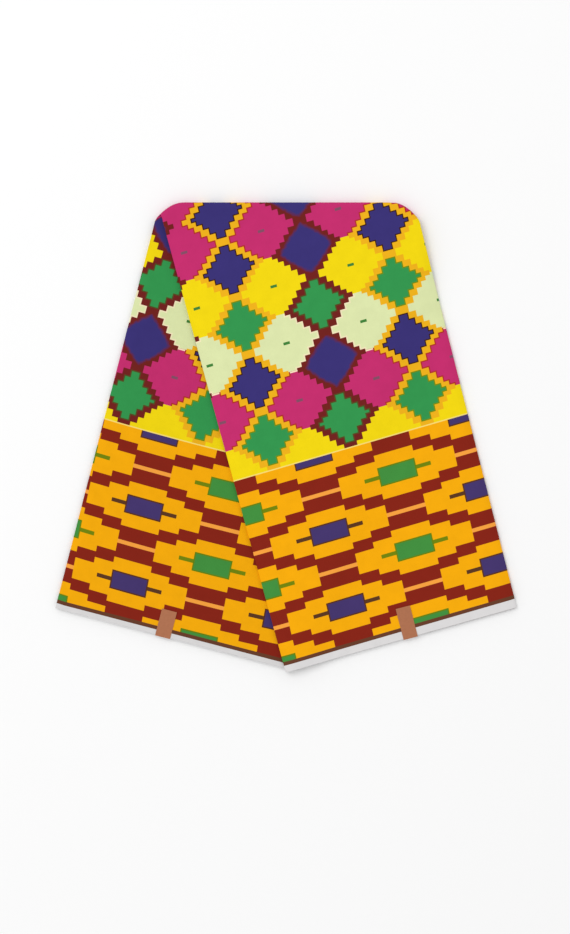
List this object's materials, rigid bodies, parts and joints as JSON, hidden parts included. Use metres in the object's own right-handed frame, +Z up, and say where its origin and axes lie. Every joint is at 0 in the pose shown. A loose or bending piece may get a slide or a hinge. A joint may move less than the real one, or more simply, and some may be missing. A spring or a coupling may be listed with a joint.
{
  "type": "folded wax print fabric",
  "caption": "Length of printed cotton cloth pleated into a strip, folded over once in its middle with the halves fanned apart, plain paper labels on the selvedges",
  "frame": {"origin": "Centre of the bounding box on the surface the cloth lies on", "axes": "+X to the right of the picture, +Y to the folded top edge, +Z up out of the surface"},
  "size_m": [0.6018, 0.6142, 0.0159],
  "materials": {
    "printed_cotton": "matt printed plain weave",
    "label_paper": "matt brown paper, blank"
  },
  "bodies": {
    "root": {"cloth": "printed_cotton", "label_left": "label_paper", "label_right": "label_paper"}
  },
  "joints": []
}
